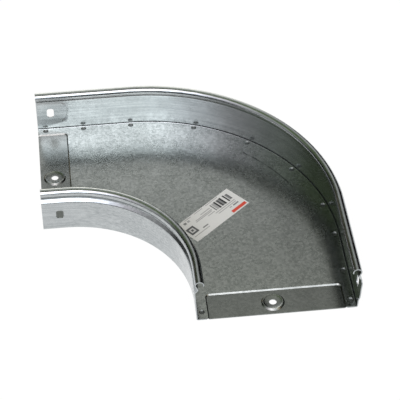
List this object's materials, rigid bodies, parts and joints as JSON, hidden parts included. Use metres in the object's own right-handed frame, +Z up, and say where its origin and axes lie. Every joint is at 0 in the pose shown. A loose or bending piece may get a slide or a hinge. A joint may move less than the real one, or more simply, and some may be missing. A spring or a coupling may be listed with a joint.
{
  "type": "cable tray bend",
  "caption": "Flat right-angle bend for a sheet steel cable tray, with rolled edges on both side walls and bolt holes at the ends.",
  "frame": {"origin": "middle of the bounding box on the underside of the tray", "axes": "+Z up out of the open tray; one tray end faces -X, the other faces -Y, and the outer corner of the bend points to +X +Y"},
  "size_m": [0.2878, 0.2878, 0.05],
  "materials": {
    "galvanised_floor": "galvanised, satin",
    "galvanised_wall": "galvanised, semi-gloss",
    "label_paper": "printed paper, matte"
  },
  "bodies": {
    "root": {"floor_plate": "galvanised_floor", "outer_wall": "galvanised_wall", "inner_wall": "galvanised_wall", "label": "label_paper"}
  },
  "joints": []
}
